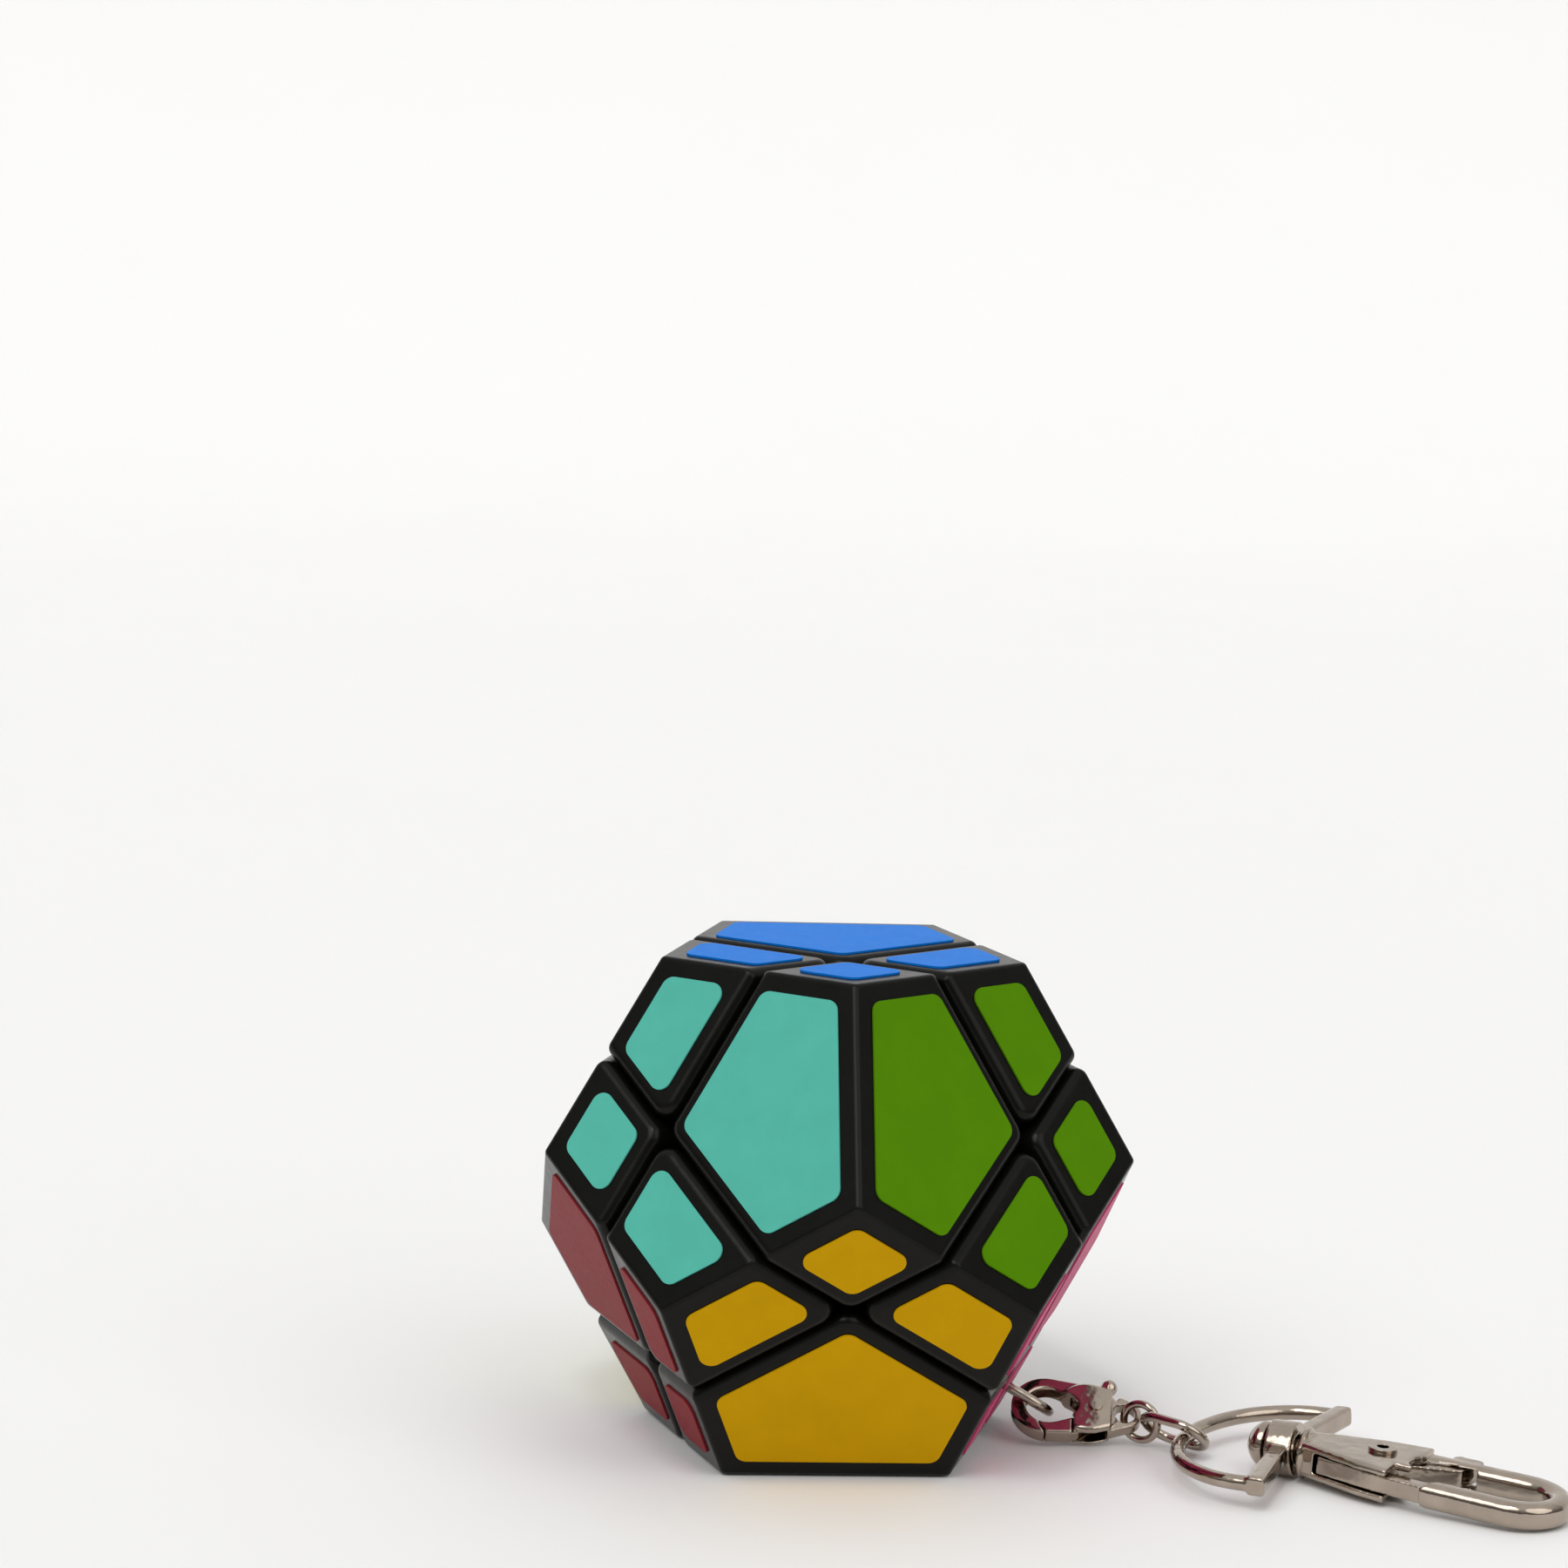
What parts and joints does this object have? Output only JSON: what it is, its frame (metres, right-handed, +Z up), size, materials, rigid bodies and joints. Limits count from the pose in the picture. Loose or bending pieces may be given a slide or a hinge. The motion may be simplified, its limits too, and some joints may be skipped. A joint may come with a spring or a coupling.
{
  "type": "dodecahedron twisty puzzle with keychain",
  "caption": "Small twelve-sided twisty puzzle with coloured stickers; its corners turn about deep cuts, and a clasp, links and a swivel snap hook hang from it.",
  "frame": {"origin": "centre of the face that the puzzle rests on, at the outside of its stickers", "axes": "+Z up through the puzzle's middle, out of the top face; +X towards the side that the keychain hangs from; -Y towards the face that looks at the viewer"},
  "size_m": [0.0801, 0.0497, 0.0403],
  "materials": {
    "inner_plastic": "moulded black plastic, hidden inside",
    "nickel_cast": "nickel plated zinc casting",
    "nickel_wire": "nickel plated wire",
    "screw_steel": "zinc plated steel",
    "shell_plastic": "moulded black plastic with a soft sheen",
    "spring_steel": "plain spring wire",
    "sticker_centre_back": "coloured vinyl film; each face of the puzzle has its own colour",
    "sticker_centre_bottom": "coloured vinyl film; each face of the puzzle has its own colour",
    "sticker_centre_front": "coloured vinyl film; each face of the puzzle has its own colour",
    "sticker_centre_left": "coloured vinyl film; each face of the puzzle has its own colour",
    "sticker_centre_right": "coloured vinyl film; each face of the puzzle has its own colour",
    "sticker_centre_top": "coloured vinyl film; each face of the puzzle has its own colour",
    "sticker_corner_a": "coloured vinyl film; each face of the puzzle has its own colour",
    "sticker_corner_b": "coloured vinyl film; each face of the puzzle has its own colour",
    "sticker_corner_c": "coloured vinyl film; each face of the puzzle has its own colour",
    "sticker_corner_d": "coloured vinyl film; each face of the puzzle has its own colour",
    "sticker_corner_e": "coloured vinyl film; each face of the puzzle has its own colour",
    "sticker_corner_f": "coloured vinyl film; each face of the puzzle has its own colour",
    "sticker_corner_g": "coloured vinyl film; each face of the puzzle has its own colour",
    "sticker_corner_h": "coloured vinyl film; each face of the puzzle has its own colour"
  },
  "bodies": {
    "core": {"core_spider": "inner_plastic", "axis_screws": "screw_steel", "axis_washers": "screw_steel", "axis_springs": "spring_steel"},
    "corner_a": {"corner_a_cap": "shell_plastic", "corner_a_foot": "inner_plastic", "corner_a_stickers": "sticker_corner_a"},
    "corner_b": {"corner_b_cap": "shell_plastic", "corner_b_foot": "inner_plastic", "corner_b_stickers": "sticker_corner_b", "keychain_eyelet": "nickel_wire"},
    "corner_c": {"corner_c_cap": "shell_plastic", "corner_c_foot": "inner_plastic", "corner_c_stickers": "sticker_corner_c"},
    "corner_d": {"corner_d_cap": "shell_plastic", "corner_d_foot": "inner_plastic", "corner_d_stickers": "sticker_corner_d"},
    "corner_e": {"corner_e_cap": "shell_plastic", "corner_e_foot": "inner_plastic", "corner_e_stickers": "sticker_corner_e"},
    "corner_f": {"corner_f_cap": "shell_plastic", "corner_f_foot": "inner_plastic", "corner_f_stickers": "sticker_corner_f"},
    "corner_g": {"corner_g_cap": "shell_plastic", "corner_g_foot": "inner_plastic", "corner_g_stickers": "sticker_corner_g"},
    "corner_h": {"corner_h_cap": "shell_plastic", "corner_h_foot": "inner_plastic", "corner_h_stickers": "sticker_corner_h"},
    "centre_front": {"centre_front_cap": "shell_plastic", "centre_front_foot": "inner_plastic", "centre_front_stickers": "sticker_centre_front"},
    "centre_back": {"centre_back_cap": "shell_plastic", "centre_back_foot": "inner_plastic", "centre_back_stickers": "sticker_centre_back"},
    "centre_right": {"centre_right_cap": "shell_plastic", "centre_right_foot": "inner_plastic", "centre_right_stickers": "sticker_centre_right"},
    "centre_left": {"centre_left_cap": "shell_plastic", "centre_left_foot": "inner_plastic", "centre_left_stickers": "sticker_centre_left"},
    "centre_top": {"centre_top_cap": "shell_plastic", "centre_top_foot": "inner_plastic", "centre_top_stickers": "sticker_centre_top"},
    "centre_bottom": {"centre_bottom_cap": "shell_plastic", "centre_bottom_foot": "inner_plastic", "centre_bottom_stickers": "sticker_centre_bottom"},
    "clasp": {"clasp_body": "nickel_cast", "clasp_pin": "nickel_wire", "clasp_spring": "spring_steel"},
    "clasp_lever": {"clasp_lever": "nickel_cast"},
    "jump_ring": {"jump_ring": "nickel_wire"},
    "oval_link": {"oval_link": "nickel_wire"},
    "d_ring": {"d_ring": "nickel_cast"},
    "snap_hook": {"hook_body": "nickel_cast", "gate_rivet": "nickel_wire", "gate_spring": "spring_steel"},
    "hook_gate": {"hook_gate": "nickel_cast"}
  },
  "joints": [
    {"name": "turn_a", "type": "hinge", "parent": "core", "child": "corner_a", "pos_m": [0, 0, 0.02015], "axis": [0.5774, -0.1876, 0.7947], "continuous": true},
    {"name": "turn_b", "type": "hinge", "parent": "core", "child": "corner_b", "pos_m": [0, 0, 0.02015], "axis": [0.5774, 0.1876, -0.7947], "range_deg": [-360, 360]},
    {"name": "turn_c", "type": "hinge", "parent": "core", "child": "corner_c", "pos_m": [0, 0, 0.02015], "axis": [-0.5774, 0.7947, 0.1876], "range_deg": [-360, 360]},
    {"name": "turn_d", "type": "hinge", "parent": "core", "child": "corner_d", "pos_m": [0, 0, 0.02015], "axis": [-0.5774, -0.7947, -0.1876], "range_deg": [-360, 360]},
    {"name": "centre_right_turn", "type": "hinge", "parent": "corner_a", "child": "centre_right", "pos_m": [0, 0, 0.02015], "axis": [0.5774, 0.1876, -0.7947], "range_deg": [-360, 360]},
    {"name": "centre_top_turn", "type": "hinge", "parent": "corner_a", "child": "centre_top", "pos_m": [0, 0, 0.02015], "axis": [-0.5774, 0.7947, 0.1876], "range_deg": [-360, 360]},
    {"name": "centre_front_turn", "type": "hinge", "parent": "corner_a", "child": "centre_front", "pos_m": [0, 0, 0.02015], "axis": [-0.5774, -0.7947, -0.1876], "range_deg": [-360, 360]},
    {"name": "centre_left_turn", "type": "hinge", "parent": "corner_c", "child": "centre_left", "pos_m": [0, 0, 0.02015], "axis": [-0.5774, -0.7947, -0.1876], "range_deg": [-360, 360]},
    {"name": "centre_bottom_turn", "type": "hinge", "parent": "corner_b", "child": "centre_bottom", "pos_m": [0, 0, 0.02015], "axis": [-0.5774, -0.7947, -0.1876], "range_deg": [-360, 360]},
    {"name": "centre_back_turn", "type": "hinge", "parent": "corner_b", "child": "centre_back", "pos_m": [0, 0, 0.02015], "axis": [-0.5774, 0.7947, 0.1876], "range_deg": [-360, 360]},
    {"name": "corner_e_turn", "type": "hinge", "parent": "centre_back", "child": "corner_e", "pos_m": [0, 0, 0.02015], "axis": [-0.5774, -0.7947, -0.1876], "range_deg": [-360, 360]},
    {"name": "corner_f_turn", "type": "hinge", "parent": "centre_top", "child": "corner_f", "pos_m": [0, 0, 0.02015], "axis": [-0.5774, -0.7947, -0.1876], "range_deg": [-360, 360]},
    {"name": "corner_g_turn", "type": "hinge", "parent": "centre_right", "child": "corner_g", "pos_m": [0, 0, 0.02015], "axis": [-0.5774, -0.7947, -0.1876], "range_deg": [-360, 360]},
    {"name": "corner_h_turn", "type": "hinge", "parent": "centre_right", "child": "corner_h", "pos_m": [0, 0, 0.02015], "axis": [-0.5774, 0.7947, 0.1876], "range_deg": [-360, 360]},
    {"name": "clasp_swing", "type": "hinge", "parent": "corner_b", "child": "clasp", "pos_m": [0.01632, -0.00058, 0.00325], "axis": [0.8021, 0.4928, 0.3372], "range_deg": [-10, 15]},
    {"name": "clasp_lever_press", "type": "hinge", "parent": "clasp", "child": "clasp_lever", "pos_m": [0.022, -0.00227, 0.00239], "axis": [-0.0298, -0.5309, 0.8469], "range_deg": [-11, 0], "stiffness_Nm_per_rad": 0.01},
    {"name": "jump_ring_swing", "type": "hinge", "parent": "clasp", "child": "jump_ring", "pos_m": [0.02434, -0.00278, 0.00216], "axis": [0.1455, 0.8359, 0.5292], "range_deg": [-6, 10]},
    {"name": "oval_link_swing", "type": "hinge", "parent": "jump_ring", "child": "oval_link", "pos_m": [0.02682, -0.00445, 0.002], "axis": [0.0434, -0.0293, 0.9986], "range_deg": [-12, 10]},
    {"name": "d_ring_swing", "type": "hinge", "parent": "oval_link", "child": "d_ring", "pos_m": [0.02976, -0.00728, 0.00188], "axis": [0.4799, 0.5679, -0.6687], "range_deg": [-10, 10]},
    {"name": "hook_swivel", "type": "hinge", "parent": "d_ring", "child": "snap_hook", "pos_m": [0.03611, -0.01087, 0.00228], "axis": [0.8516, -0.5219, -0.0488], "continuous": true},
    {"name": "gate_press", "type": "hinge", "parent": "snap_hook", "child": "hook_gate", "pos_m": [0.04312, -0.01434, 0.0019], "axis": [0.0417, -0.0255, 0.9988], "range_deg": [0, 22], "stiffness_Nm_per_rad": 0.03}
  ],
  "couplings": [
    {"joint": "centre_right_turn", "follows": "turn_b", "ratio": 1},
    {"joint": "centre_top_turn", "follows": "turn_c", "ratio": 1},
    {"joint": "centre_front_turn", "follows": "turn_d", "ratio": 1},
    {"joint": "centre_left_turn", "follows": "turn_d", "ratio": 1},
    {"joint": "centre_bottom_turn", "follows": "turn_d", "ratio": 1},
    {"joint": "centre_back_turn", "follows": "turn_c", "ratio": 1},
    {"joint": "corner_e_turn", "follows": "turn_d", "ratio": 1},
    {"joint": "corner_f_turn", "follows": "turn_d", "ratio": 1},
    {"joint": "corner_g_turn", "follows": "turn_d", "ratio": 1},
    {"joint": "corner_h_turn", "follows": "turn_c", "ratio": 1}
  ]
}
